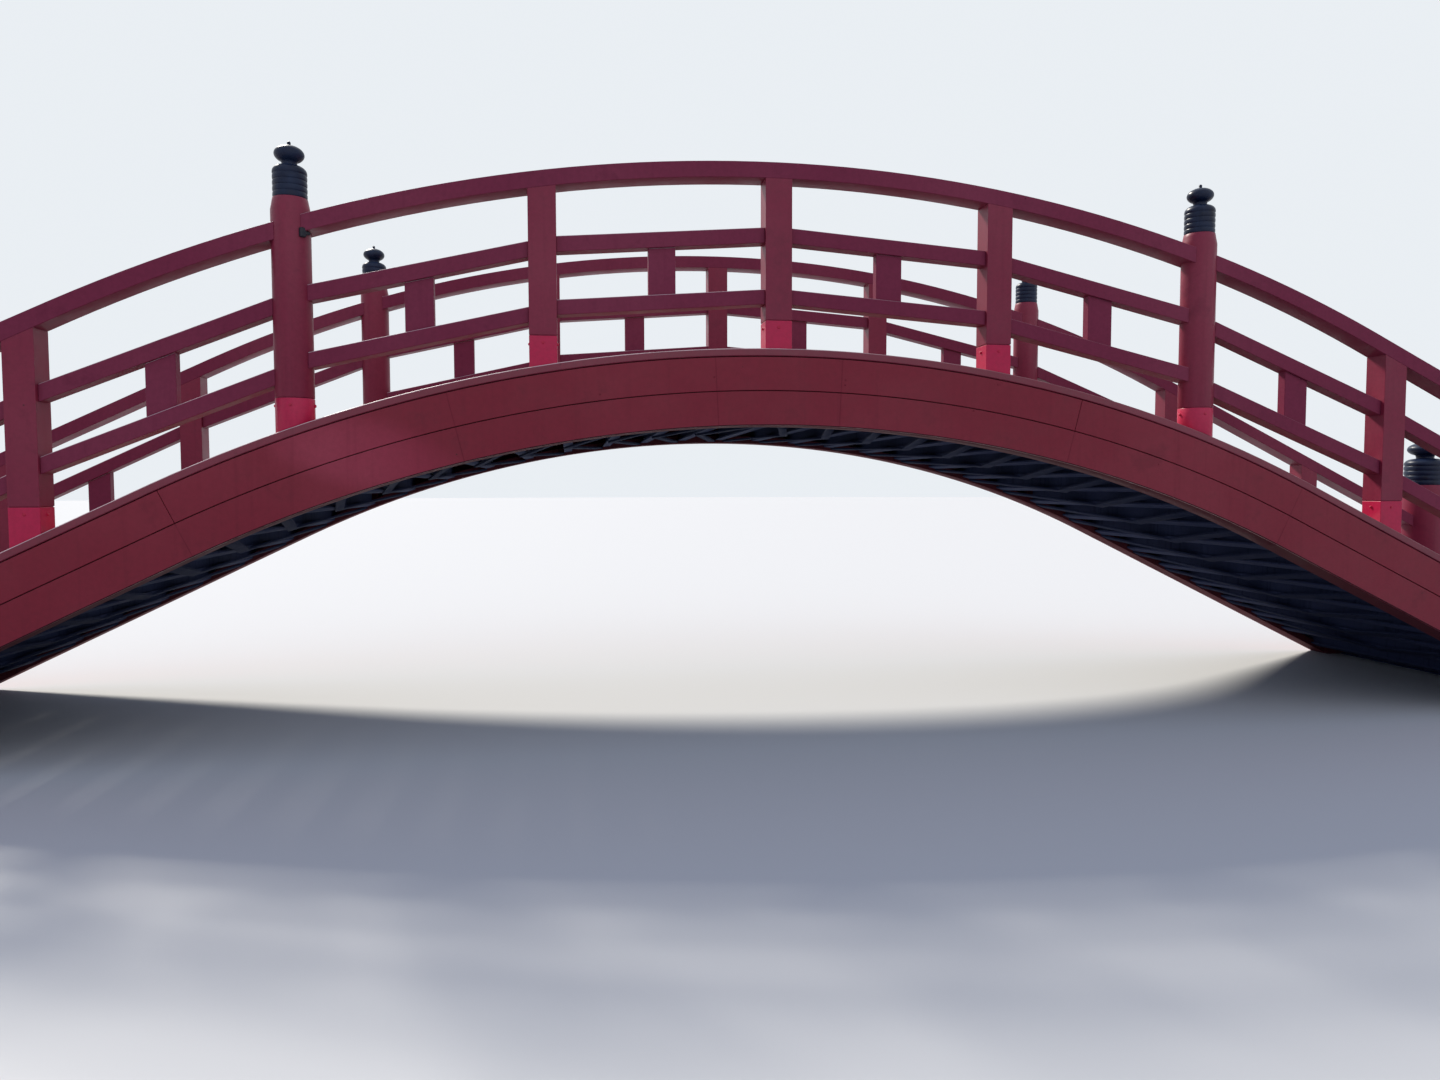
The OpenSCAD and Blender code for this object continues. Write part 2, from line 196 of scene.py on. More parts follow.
def edge_highlight(tree, place, across, up):
    """Painted highlight: 1 where a rounded long edge turns from upright to level, so that it
    looks both across and up, 0 on the faces beside it. To the right it fades, to `least` at
    right_x."""
    left_x, right_x, least = -0.9, 1.6, 0.12
    across = sums(tree, "ABSOLUTE", across)
    turn = sums(tree, "MULTIPLY", ease(tree, across, 0.22, 0.45), ease(tree, across, 0.97, 0.90))
    turn = sums(tree, "MULTIPLY", turn, ease(tree, up, 0.1, 0.3))
    where = tree.nodes.new("ShaderNodeSeparateXYZ")
    feed(where.inputs[0], place)
    return sums(tree, "MULTIPLY", turn, ease(tree, where.outputs[0], right_x, left_x, least, 1.0))


def weathered_coat():
    """Paint outdoors: broad patches of faded and of deeper colour, faint runs below edges on
    upright faces, dust on faces that look up, and a few rust specks. A material may also ask
    for a painted sheen patch and for a painted highlight along its long edges."""
    tree, given, out = new_group("weathered_coat", {
        "Paint": (0.4, 0.05, 0.06), "Faded": (0.5, 0.1, 0.1), "Deep": (0.3, 0.03, 0.04),
        "Dust": (0.45, 0.33, 0.30), "Rust": (0.08, 0.025, 0.015), "Runs": 0.3, "Dusting": 0.3,
        "Specks": 1.0, "Gloss": 0.4, "Sheen": 0.0, "Highlight": (0.8, 0.6, 0.6), "Highlighting": 0.0})
    place = object_place(tree)
    _, across, up = facing(tree)
    upright = ease(tree, sums(tree, "ABSOLUTE", up), 0.75, 0.25)
    broad = cloud(tree, place, 0.7, 3.0, 0.5)
    patch = cloud(tree, place, 4.5, 6.0, 0.62, 0.3)
    fine = cloud(tree, place, 46.0, 5.0, 0.65)
    colour = blend(tree, ease(tree, broad, 0.38, 0.68), given["Paint"], given["Faded"])
    colour = blend(tree, ease(tree, patch, 0.42, 0.30, 0.0, 0.45), colour, given["Deep"])
    colour = blend(tree, ease(tree, patch, 0.60, 0.78, 0.0, 0.35), colour, given["Faded"])

    runs = cloud(tree, stretch(tree, place, (26.0, 26.0, 1.1)), 1.0, 5.0, 0.6)
    runs = sums(tree, "MULTIPLY", ease(tree, runs, 0.50, 0.74), upright)
    colour = blend(tree, sums(tree, "MULTIPLY", runs, given["Runs"]), colour, given["Deep"])
    pale = cloud(tree, stretch(tree, place, (34.0, 34.0, 1.6)), 1.0, 4.0, 0.55)
    pale = sums(tree, "MULTIPLY", ease(tree, pale, 0.60, 0.82, 0.0, 0.5), upright)
    colour = blend(tree, sums(tree, "MULTIPLY", pale, given["Runs"]), colour, given["Faded"])

    top = sums(tree, "MULTIPLY", ease(tree, up, 0.55, 0.95), given["Dusting"])
    uneven = ease(tree, sums(tree, "ADD", patch, fine), 0.7, 1.25, 0.35, 1.0)
    dusty = sums(tree, "MULTIPLY", top, uneven)
    colour = blend(tree, dusty, colour, given["Dust"])
    speck = sums(tree, "MULTIPLY", dots(tree, place, 9.0, 0.0065, 0.16), given["Specks"])
    colour = blend(tree, sums(tree, "MULTIPLY", speck, 0.8), colour, given["Rust"])
    colour = blend(tree, 1.0, colour, ease(tree, fine, 0.3, 0.7, 0.94, 1.06), "MULTIPLY")

    # Painted sheen: the front patch turns a lighter, pinker red, a painted reflection.
    painted_sheen = sums(tree, "MULTIPLY", painted_sheen_patch(tree, place), given["Sheen"])
    sheen_red = blend(tree, 1.0, colour, (1.42, 1.95, 1.85), "MULTIPLY")
    colour = blend(tree, painted_sheen, colour, sheen_red)
    # Painted highlight: the long edges turn to the pale highlight colour, broken up by the
    # patches.
    highlight_share = sums(tree, "MULTIPLY", edge_highlight(tree, place, across, up),
                  ease(tree, patch, 0.30, 0.55, 0.45, 1.0))
    colour = blend(tree, sums(tree, "MULTIPLY", highlight_share, given["Highlighting"]), colour, given["Highlight"])

    rough = sums(tree, "ADD", given["Gloss"], ease(tree, patch, 0.3, 0.7, -0.05, 0.07))
    rough = sums(tree, "ADD", rough, sums(tree, "MULTIPLY", fine, 0.08))
    rough = sums(tree, "ADD", rough, sums(tree, "MULTIPLY", dusty, 0.35), clamp=True)
    skin, sheet = cloud(tree, place, 240.0, 3.0, 0.5), cloud(tree, place, 1.7, 2.0, 0.4)
    height = sums(tree, "ADD", sums(tree, "MULTIPLY", skin, 0.05), sheet)
    height = sums(tree, "ADD", height, sums(tree, "MULTIPLY", speck, 0.10))
    feed(out["Colour"], colour)
    feed(out["Roughness"], rough)
    feed(out["Height"], height)
    return tree


coat = weathered_coat()


def finish(name, group, values, bump=(0.35, 0.004), **constants):
    """Material whose colour, roughness and bump come from a node group with its own values;
    what is the same all over is set on the shader itself. The bump is a strength and a depth."""
    m = bpy.data.materials.new(name)
    m.use_nodes = True
    tree = m.node_tree
    shader = tree.nodes["Principled BSDF"]
    g = tree.nodes.new("ShaderNodeGroup")
    g.node_tree = group
    for key, value in values.items():
        feed(g.inputs[key], value)
    for key, value in constants.items():
        shader.inputs[key.replace("_", " ")].default_value = value
    feed(shader.inputs["Base Color"], g.outputs["Colour"])
    feed(shader.inputs["Roughness"], g.outputs["Roughness"])
    raised = tree.nodes.new("ShaderNodeBump")
    raised.inputs["Strength"].default_value, raised.inputs["Distance"].default_value = bump
    feed(raised.inputs["Height"], g.outputs["Height"])
    feed(shader.inputs["Normal"], raised.outputs[0])
    return m


def dress(names, material, edge, steps=2):
    """Gives CAD nodes their finish and rounds their sharp edges as paint and grinding do, with
    the radius edge in steps facets."""
    seam, level, sharp = 0.00005, radians(0.15), radians(32)
    for name in names:
        o = nodes[name]
        o.data.materials.clear()
        o.data.materials.append(material)
        o.modifiers.new("weld", "WELD").merge_threshold = seam
        flat = o.modifiers.new("flat", "DECIMATE")
        flat.decimate_type, flat.angle_limit = "DISSOLVE", level
        b = o.modifiers.new("edge", "BEVEL")
        b.width, b.segments, b.limit_method, b.angle_limit = edge, steps, "ANGLE", sharp
        b.harden_normals, b.miter_outer, b.use_clamp_overlap = True, "MITER_ARC", True


# The bands carry the painted sheen, a lighter, pinker patch on the front left of the middle.
band_paint = finish("band_paint", coat, {
    "Paint": (0.235, 0.016, 0.033), "Faded": (0.275, 0.027, 0.046), "Deep": (0.178, 0.011, 0.026),
    "Dust": (0.46, 0.22, 0.20), "Rust": (0.045, 0.012, 0.014), "Runs": 0.35, "Dusting": 0.30,
    "Specks": 1.0, "Gloss": 0.40, "Sheen": 1.0}, bump=(0.5, 0.004),
    Specular_IOR_Level=0.22)
dress(["front_upper_band", "rear_upper_band", "front_lower_band", "rear_lower_band"],
      band_paint, edge=0.0022)


def put(name, rings, material, attribute=None, stands_for=()):
    """One object from rings[b, m, n, 3]: b separate bodies, each a loop of n points carried
    over m stations. Quads join neighbouring stations, and a flat face closes each end. A body
    keeps its own number in the attribute, for its material to read."""
    b, m, n, _ = rings.shape
    grid = np.arange(b * m * n).reshape(b, m, n)
    here, on = grid[:, :-1], np.roll(grid[:, :-1], -1, 2)
    there, on_there = grid[:, 1:], np.roll(grid[:, 1:], -1, 2)
    faces = np.stack([here, on, on_there, there], -1).reshape(-1, 4).tolist()
    faces += grid[:, 0, ::-1].tolist() + grid[:, -1].tolist()
    mesh = bpy.data.meshes.new(name)
    mesh.from_pydata(rings.reshape(-1, 3).tolist(), [], faces)
    mesh.materials.append(material)
    if attribute is not None:
        layer = mesh.attributes.new("piece", "FLOAT", "POINT")
        layer.data.foreach_set("value", np.repeat(attribute, m * n).astype(np.float32))
    mesh.polygons.foreach_set("use_smooth", np.ones(len(faces), bool))
    mesh.validate()
    o = bpy.data.objects.new(name, mesh)
    bpy.context.scene.collection.objects.link(o)
    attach(o, "root")
    if stands_for:
        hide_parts(*stands_for)
    return o


def crisp(o, angle=40):
    """Keeps the corners of a smooth-shaded piece sharp where its faces turn by more than the
    angle in degrees."""
    o.modifiers.new("crisp", "EDGE_SPLIT").split_angle = radians(angle)


def dome_at(centres, along, radius, height, sides=8):
    """Pan heads: a circle of radius that draws in over a quarter turn to the height, one for
    each centre, standing along the given direction or directions."""
    along = np.asarray(along, float)
    along = along / np.linalg.norm(along, axis=1, keepdims=True)
    helper = np.where(np.abs(along[:, 2:3]) > 0.9, [[1.0, 0, 0]], [[0, 0, 1.0]])
    u = np.cross(helper, along)
    u /= np.linalg.norm(u, axis=1, keepdims=True)
    v = np.cross(along, u)
    t = np.linspace(0, 2 * pi, sides, endpoint=False)
    r = radius * np.array([1.0, 1.0, 0.80, 0.35])
    h = height * np.array([-0.5, 0.45, 0.88, 1.0])
    ring = np.cos(t)[None, :, None] * u[:, None, :] + np.sin(t)[None, :, None] * v[:, None, :]
    return (np.asarray(centres)[:, None, None, :] + r[None, :, None, None] * ring[:, None]
            + h[None, :, None, None] * along[:, None, None, :])


def slope(x):
    """Angle of the kerb line at x: on the arc its sine is the distance from the middle over
    arc_r, and further out it is the ramp's."""
    return np.minimum(ramp, np.arcsin(np.minimum(1, np.abs(x) / arc_r)))


def below(x, depth):
    """Place in the side view of the point that lies depth below the kerb top at x, square to
    the line: back along the slope's normal."""
    return x - np.sign(x) * depth * np.sin(slope(x)), line_z(x) - depth * np.cos(slope(x))


# The joints between the panels are puttied nearly flush and painted over, so that only a faint
# line shows. Two in the upper bands have opened and are dark.
face_y, cover_t, panel, crown_panel, panel_gap = 1.25, 0.018, 1.458, 0.730, 0.0025
upper_top, upper_end, lower_top, lower_end = 0.048, 0.232, 0.237, 0.427
open_joints = (-3.281, 1.823)
putty = finish("putty", coat, {
    "Paint": (0.190, 0.013, 0.028), "Faded": (0.225, 0.022, 0.038), "Deep": (0.140, 0.009, 0.021),
    "Dust": (0.40, 0.18, 0.17), "Rust": (0.040, 0.012, 0.012), "Runs": 0.35, "Dusting": 0.3,
    "Specks": 0.0, "Gloss": 0.48}, bump=(0.3, 0.002), Specular_IOR_Level=0.18)
joints = crown_panel / 2 + panel * np.arange(4)
joints = np.concatenate([-joints[::-1], joints])
strips = [(x, upper_top, upper_end) for x in joints if round(x, 3) not in open_joints]
strips += [(x, lower_top, lower_end) for x in joints]
x, top, end = np.array(strips).T
ends = np.stack([np.stack(below(x, top), -1), np.stack(below(x, end), -1)], 1)
down = ends[:, 1] - ends[:, 0]
over = down[:, ::-1] * [-1, 1] / np.linalg.norm(down, axis=1, keepdims=True)
narrow, flare, sunk, back = panel_gap / 2 - 0.0001, 0.0019, 0.0002, cover_t - 0.001
aside = np.array([narrow + flare, narrow, narrow, -narrow, -narrow, -narrow - flare])
deep = np.array([sunk, flare, back, back, flare, sunk])
bars = []
for s in (-1, 1):
    loop = np.empty((len(x), 2, len(aside), 3))
    loop[..., 0::2] = ends[:, :, None] + aside[:, None] * over[:, None, None]
    loop[..., 1] = s * (face_y - deep)
    bars.append(loop if s > 0 else loop[:, :, ::-1])
crisp(put("joint_putty", np.concatenate(bars), putty))

# A near-black bead along the lower edge of the lower band, against the girder, is painted shade:
# # the dark line under that edge. It stops where the edge comes down to ground_gap over the
# ground.
shade_line_paint = finish("shade_line_paint", coat, {
    "Paint": (0.030, 0.007, 0.012), "Faded": (0.050, 0.010, 0.016), "Deep": (0.015, 0.005, 0.008),
    "Dust": (0.10, 0.06, 0.06), "Rust": (0.03, 0.01, 0.01), "Runs": 0.3, "Dusting": 0.2,
    "Specks": 0.0, "Gloss": 0.6}, bump=(0.3, 0.002), Specular_IOR_Level=0.1)
ground_gap, inner_x, outer_x = 0.02, 4.0, 6.2
try_x = np.linspace(outer_x, inner_x, 600)
reach = float(np.interp(ground_gap, below(try_x, lower_end)[1], try_x))
stations = np.linspace(-reach, reach, 161)
proud = np.array([0.0006, 0.0009, 0.0006, -0.0040, -0.0040])
rise = np.array([0.0050, 0.0030, 0.0004, 0.0004, 0.0050])
beads = []
for s in (-1, 1):
    loop = np.empty((1, len(stations), len(proud), 3))
    loop[0, ..., 0], loop[0, ..., 2] = below(stations[:, None], lower_end - rise)
    loop[..., 1] = s * (face_y + proud)
    beads.append(loop if s < 0 else loop[:, :, ::-1])
put("edge_shade_line", np.concatenate(beads), shade_line_paint)

# A few plugged screw heads stand just proud of the bands. Each has its place along the kerb
# line and its depth below it.
plug_r, plug_h = 0.0055, 0.0018
plugs = np.array([(2.391, 0.270), (-0.377, 0.155), (0.387, 0.160), (0.387, 0.188),
                  (-1.025, 0.200), (1.299, 0.073), (1.180, 0.246)])
px, pz = below(plugs[:, 0], plugs[:, 1])
heads = [dome_at(np.stack([px, np.full_like(px, s * face_y), pz], -1), [[0, s, 0]], plug_r, plug_h)
         for s in (-1, 1)]
put("band_plugs", np.concatenate(heads), putty)

# Along the kerb's rounded front edge runs a painted highlight: a pale line that fades to the
# right.
kerb_paint = finish("kerb_paint", coat, {
    "Paint": (0.200, 0.013, 0.036), "Faded": (0.238, 0.026, 0.052), "Deep": (0.150, 0.009, 0.027),
    "Dust": (0.50, 0.21, 0.20), "Rust": (0.045, 0.012, 0.014), "Runs": 0.35, "Dusting": 0.55,
    "Specks": 1.0, "Gloss": 0.30, "Highlight": (0.80, 0.60, 0.59), "Highlighting": 0.95},
    bump=(0.3, 0.004), Specular_IOR_Level=0.42)
dress(["front_kerb", "rear_kerb"], kerb_paint, edge=0.0075, steps=4)

# The girder behind the bands only shows from below and from the deck: red-brown primer, long
# since dull, with grime run down it.
girder_paint = finish("girder_paint", coat, {
    "Paint": (0.100, 0.021, 0.028), "Faded": (0.135, 0.028, 0.036), "Deep": (0.045, 0.012, 0.018),
    "Dust": (0.20, 0.12, 0.11), "Rust": (0.10, 0.030, 0.014), "Runs": 0.7, "Dusting": 0.5,
    "Specks": 1.0, "Gloss": 0.66}, bump=(0.5, 0.004), Specular_IOR_Level=0.06)
dress(["front_girder", "rear_girder"], girder_paint, edge=0.0025)


# Cross beams and V braces: rolled steel in a dark blue maintenance coat, grimy on top of the
# flanges, with rust starting in specks. A beam lies under each step.

beam_paint = finish("beam_paint", coat, {
    "Paint": (0.028, 0.036, 0.080), "Faded": (0.038, 0.046, 0.095), "Deep": (0.016, 0.021, 0.050),
    "Dust": (0.09, 0.08, 0.08), "Rust": (0.09, 0.030, 0.015), "Runs": 0.8, "Dusting": 0.5,
    "Specks": 1.0, "Gloss": 0.78}, bump=(0.5, 0.004), Specular_IOR_Level=0.04)
dress(["left_cross_beams", "right_cross_beams", "crown_beam"], beam_paint, edge=0.0015)
brace_paint = finish("brace_paint", coat, {
    "Paint": (0.017, 0.022, 0.050), "Faded": (0.024, 0.030, 0.062), "Deep": (0.010, 0.013, 0.030),
    "Dust": (0.07, 0.06, 0.06), "Rust": (0.06, 0.022, 0.012), "Runs": 0.8, "Dusting": 0.5,
    "Specks": 0.6, "Gloss": 0.84}, bump=(0.5, 0.004), Specular_IOR_Level=0.03)
dress(["left_braces", "right_braces"], brace_paint, edge=0.0015)


# Steps: every step has three boards of hard wood, greyed by the weather, screwed down through
# a steel tray whose outer edge is the riser. One step lies on each cross beam.

going, tread, drop, gap = 0.293, 0.045, 0.030, 0.002
step_y, riser, last_step = 1.046, 0.012, 20
board_h, landing_top = 0.030, 0.060
board_pitch = (going - 2 * gap) / 3


def step_top(k):
    """Height of the top of step k, whole numbers from the middle outwards: drop below the kerb
    line at the step's outer edge, and past the last step the landing's."""
    return np.where(k > last_step, landing_top, line_z((k + 0.5) * going) - drop)


def weathered_wood():
    """Board along Y: long grain and darker latewood lines, silvered in patches, with fine
    checks. Each board's number shifts its grain and sets a tone of its own."""
    tree, given, out = new_group(
        "weathered_wood",
        {"Wood": (0.30, 0.20, 0.13), "Silver": (0.36, 0.32, 0.28), "Dark": (0.12, 0.08, 0.055),
         "Grey": 0.5})
    own = tree.nodes.new("ShaderNodeAttribute")
    own.attribute_name = "piece"
    shift = tree.nodes.new("ShaderNodeVectorMath")
    shift.operation = "MULTIPLY_ADD"
    feed(shift.inputs[0], own.outputs["Fac"])
    shift.inputs[1].default_value = (7.0, 13.0, 5.0)
    feed(shift.inputs[2], object_place(tree))
    place = shift.outputs[0]
    grain = cloud(tree, stretch(tree, place, (95.0, 3.2, 95.0)), 1.0, 6.0, 0.6, 0.4)
    rings = cloud(tree, stretch(tree, place, (26.0, 0.9, 26.0)), 1.0, 3.0, 0.5, 1.2)
    check = cloud(tree, stretch(tree, place, (210.0, 5.0, 210.0)), 1.0, 4.0, 0.7)
    grime = cloud(tree, place, 5.0, 5.0, 0.6)
    colour = blend(tree, ease(tree, rings, 0.40, 0.62), given["Wood"], given["Dark"])
    colour = blend(tree, ease(tree, grain, 0.35, 0.70, 0.1, 0.7), colour, given["Wood"])
    grey = sums(tree, "MULTIPLY", ease(tree, grime, 0.30, 0.65, 0.4, 1.0), given["Grey"])
    colour = blend(tree, grey, colour, given["Silver"])
    tone = sums(tree, "ADD", sums(tree, "MULTIPLY", own.outputs["Fac"], 0.35), 0.80)
    colour = blend(tree, 1.0, colour, tone, "MULTIPLY")
    split = ease(tree, check, 0.62, 0.74)
    colour = blend(tree, sums(tree, "MULTIPLY", split, 0.7), colour, given["Dark"])
    height = sums(tree, "SUBTRACT", sums(tree, "MULTIPLY", grain, 0.5), split)
    feed(out["Colour"], colour)
    feed(out["Roughness"], ease(tree, grain, 0.2, 0.8, 0.62, 0.82))
    feed(out["Height"], height)
    return tree


board_wood = finish("board_wood", weathered_wood(), {
    "Wood": (0.29, 0.160, 0.105), "Silver": (0.37, 0.305, 0.265), "Dark": (0.10, 0.055, 0.04),
    "Grey": 0.55}, bump=(0.7, 0.0012), Specular_IOR_Level=0.3)

rng = np.random.default_rng(11)
every = np.arange(0, last_step + 1)


def rounded(w, h, r, n=3):
    """Outline of a w by h rectangle with its corners rounded to radius r: the corner's centre
    plus r times the cosine and sine of the angle, in n steps a corner, anticlockwise."""
    a = np.radians(np.arange(4)[:, None] * 90 + np.linspace(0, 90, n + 1)[None, :])
    cx = (w / 2 - r) * np.array([1, -1, -1, 1])[:, None]
    cy = (h / 2 - r) * np.array([1, 1, -1, -1])[:, None]
    return np.stack([cx + r * np.cos(a), cy + r * np.sin(a)], -1).reshape(-1, 2)


def make_boards(name, side, ks, stands_for):
    """Three boards a step as rounded rectangles carried along Y. Each lies up to `low` too low
    and sags by up to `sag` in its middle, by the cosine that falls to 0 at both ends."""
    board_gap, board_r, low, sag, stations = 0.004, 0.003, 0.0012, 0.0008, 9
    ks = np.repeat(ks, 3)
    lane = np.tile([-1, 0, 1], len(ks) // 3)
    x = side * ks * going + lane * board_pitch
    top = step_top(ks) + rng.uniform(-low, 0.0, len(ks))
    y = np.linspace(step_y, -step_y, stations)
    bow = rng.uniform(-sag, 0.0, len(ks))[:, None] * np.cos(y / step_y * pi * 0.5)
    outline = rounded(board_pitch - board_gap, board_h, board_r)
    rings = np.empty((len(ks), stations, len(outline), 3))
    rings[..., 0] = x[:, None, None] + outline[None, None, :, 0]
    rings[..., 1] = y[None, :, None]
    rings[..., 2] = (top[:, None] + bow - board_h / 2)[..., None] + outline[None, None, :, 1]
    number = rng.uniform(0, 1, len(ks))
    crisp(put(name, rings, board_wood, number, stands_for), 50)


make_boards("left_step_boards", -1, every[1:], ["left_steps"])
make_boards("right_step_boards", 1, every[1:], ["right_steps"])
make_boards("crown_step_boards", 1, every[:1], ["crown_step"])

tray_paint = finish("tray_paint", coat, {
    "Paint": (0.046, 0.053, 0.092), "Faded": (0.058, 0.065, 0.108), "Deep": (0.027, 0.032, 0.058),
    "Dust": (0.20, 0.18, 0.16), "Rust": (0.12, 0.035, 0.015), "Runs": 0.8, "Dusting": 0.7,
    "Specks": 1.0, "Gloss": 0.66}, bump=(0.5, 0.004), Specular_IOR_Level=0.06)


def make_trays(name, side, ks):
    """Tray under each step and its riser, which reaches down to the next step: one L-shaped
    outline in the side view, with a lip in front of the boards, carried along Y."""
    bed, lip_rise, lip_t, least = 0.0015, 0.001, 0.002, 0.0005
    x0, x1 = (ks - 0.5) * going + gap / 2, (ks + 0.5) * going - gap / 2
    under = step_top(ks) - tread
    top = step_top(ks) - board_h - bed
    lip = step_top(ks) - board_h + lip_rise
    foot = np.minimum(step_top(ks + 1) + gap, under - least)
    px = np.stack([x0, x1 - riser, x1 - riser, x1, x1, x1 - lip_t, x1 - lip_t, x0], -1)
    pz = np.stack([under, under, foot, foot, lip, lip, top, top], -1)
    rings = np.empty((len(ks), 2, 8, 3))
    rings[..., 0] = side * px[:, None, :]
    rings[..., 1] = side * np.array([step_y, -step_y])[None, :, None]
    rings[..., 2] = pz[:, None, :]
    crisp(put(name, rings, tray_paint), 30)


make_trays("left_step_trays", -1, every[1:])
make_trays("right_step_trays", 1, every[1:])
make_trays("crown_step_tray", 1, every[:1])


def worn_metal():
    """Bare fixings outdoors: dull zinc or black oxide, clouded, with rust in places."""
    tree, given, out = new_group(
        "worn_metal",
        {"Metal": (0.2, 0.2, 0.2), "Dull": (0.1, 0.1, 0.1), "Rust": (0.14, 0.05, 0.02),
         "Rusting": 0.4, "Gloss": 0.4})
    place = object_place(tree)
    fine = cloud(tree, place, 90.0, 5.0, 0.65)
    wide = cloud(tree, place, 8.0, 4.0, 0.6)
    colour = blend(tree, ease(tree, fine, 0.35, 0.65), given["Metal"], given["Dull"])
    rusty = ease(tree, sums(tree, "ADD", wide, fine), 0.95, 1.25)
    rusty = sums(tree, "MULTIPLY", rusty, given["Rusting"])
    colour = blend(tree, rusty, colour, given["Rust"])
    feed(out["Colour"], colour)
    feed(out["Roughness"], sums(tree, "ADD", given["Gloss"], sums(tree, "MULTIPLY", fine, 0.25)))
    feed(out["Height"], fine)
    return tree


fixing = worn_metal()
screw_metal = finish("screw_metal", fixing, {
    "Metal": (0.22, 0.21, 0.20), "Dull": (0.11, 0.10, 0.10), "Rusting": 0.6, "Gloss": 0.35},
    bump=(0.3, 0.0005), Metallic=0.8)

# Four screws hold each board, sunk a little into the wood.
screw_r, screw_h, screw_sunk, screw_y = 0.0055, 0.0022, 0.0012, (-0.96, -0.33, 0.33, 0.96)
k, lane, y = np.meshgrid(np.arange(-last_step, last_step + 1), [-1, 0, 1], screw_y, indexing="ij")
places = np.stack([k * going + lane * board_pitch, y, step_top(np.abs(k)) - screw_sunk], -1)
put("step_screws", dome_at(places.reshape(-1, 3), [[0, 0, 1]], screw_r, screw_h),
    screw_metal)


# Posts: square and round steel tube under a coat like the bands', welded to the kerb. A bright
# red sleeve, renewed not long ago, is bolted round the foot of each.

post_paint = finish("post_paint", coat, {
    "Paint": (0.228, 0.018, 0.047), "Faded": (0.262, 0.030, 0.060), "Deep": (0.175, 0.012, 0.037),
    "Dust": (0.48, 0.23, 0.22), "Rust": (0.045, 0.012, 0.014), "Runs": 0.30, "Dusting": 0.3,
    "Specks": 0.8, "Gloss": 0.38}, bump=(0.4, 0.004), Specular_IOR_Level=0.24)
dress(["front_square_posts", "rear_square_posts"], post_paint, edge=0.0050, steps=3)
dress(["front_round_posts", "rear_round_posts", "end_posts"], post_paint, edge=0.0030)

sleeve_paint = finish("sleeve_paint", coat, {
    "Paint": (0.55, 0.011, 0.068), "Faded": (0.60, 0.032, 0.088), "Deep": (0.44, 0.008, 0.055),
    "Dust": (0.60, 0.28, 0.30), "Rust": (0.06, 0.015, 0.012), "Runs": 0.22, "Dusting": 0.2,
    "Specks": 0.5, "Gloss": 0.32}, bump=(0.4, 0.004), Specular_IOR_Level=0.25)
dress(["front_sleeves", "rear_sleeves"], sleeve_paint, edge=0.0030)

# Each side of a sleeve has one painted bolt near its top. Its head is flatter on the sides that
# look away from the bridge and towards the walkway.
bay, track, post_w, round_d = 1.3, 2.3, 0.150, 0.198
sleeve_h, round_sleeve_h = 0.157, 0.146
bolt_r, bolt_h, flat_h, bolt_low = 0.0085, 0.0080, 0.0032, 0.037
bolt_paint = finish("bolt_paint", coat, {
    "Paint": (0.52, 0.011, 0.052), "Faded": (0.58, 0.030, 0.074), "Deep": (0.38, 0.008, 0.040),
    "Dust": (0.58, 0.28, 0.27), "Rust": (0.05, 0.015, 0.012), "Runs": 0.4, "Dusting": 0.3,
    "Specks": 0.0, "Gloss": 0.32}, bump=(0.3, 0.002), Specular_IOR_Level=0.25)

posts = np.arange(-4, 5)
is_round = np.abs(posts) == 2
high = np.where(is_round, round_sleeve_h, sleeve_h) / np.cos(slope(posts * bay))
half = np.where(is_round, round_d, post_w) / 2
heads = []
for s in (-1, 1):
    for dx, dy in ((-1, 0), (1, 0), (0, -1), (0, 1)):
        places = np.stack([posts * bay + dx * half, s * track / 2 + dy * half,
                           line_z(posts * bay) + high - bolt_low], -1)
        heads.append(dome_at(places, [[dx, dy, 0]], bolt_r, bolt_h if dx else flat_h, sides=12))
put("sleeve_bolts", np.concatenate(heads), bolt_paint)

# A small black cast fitting with a lug sits under the end of the handrail, on the round post
# at the left.
fitting_black = finish("fitting_black", fixing, {
    "Metal": (0.010, 0.013, 0.022), "Dull": (0.018, 0.021, 0.030), "Rusting": 0.1, "Gloss": 0.40},
    bump=(0.4, 0.001), Specular_IOR_Level=0.3)


def pillow(centre, out, w, h, deep, r):
    """Block with rounded corners and a drawn-in front: a rounded rectangle, upright and square
    to the direction out, carried along it and scaled down over the last stations."""
    out = np.array(out, float) / np.linalg.norm(out)
    side = np.cross([0, 0, 1.0], out)
    far = np.array([-0.5, 0.60, 0.82, 0.95, 1.0]) * deep
    size = np.array([1.0, 1.0, 0.96, 0.86, 0.70])
    flat = rounded(w, h, r)
    ring = flat[:, 0, None] * side + flat[:, 1, None] * np.array([0, 0, 1.0])
    return (np.array(centre) + far[:, None, None] * out + size[:, None, None] * ring)[None]


fitting_z, lug_side, lug_out = 2.803, 0.016, 0.007
nose, lug = np.array([0.72, -0.69, 0.0]), np.array([0.69, 0.72, 0.0])
seat = np.array([-2 * bay, -track / 2, fitting_z]) + round_d / 2 * nose
put("handrail_fitting", np.concatenate([
    pillow(seat, nose, w=0.034, h=0.050, deep=0.018, r=0.008),
    pillow(seat + lug_side * lug + lug_out * nose, lug, w=0.014, h=0.018, deep=0.026, r=0.004)]),
    fitting_black)


# Caps: hollow iron castings, black once and now a dark slate blue, that sit on the round posts
# and on the four end posts. Each has four beads, a shoulder, a neck, a flattened bulb and a tip.

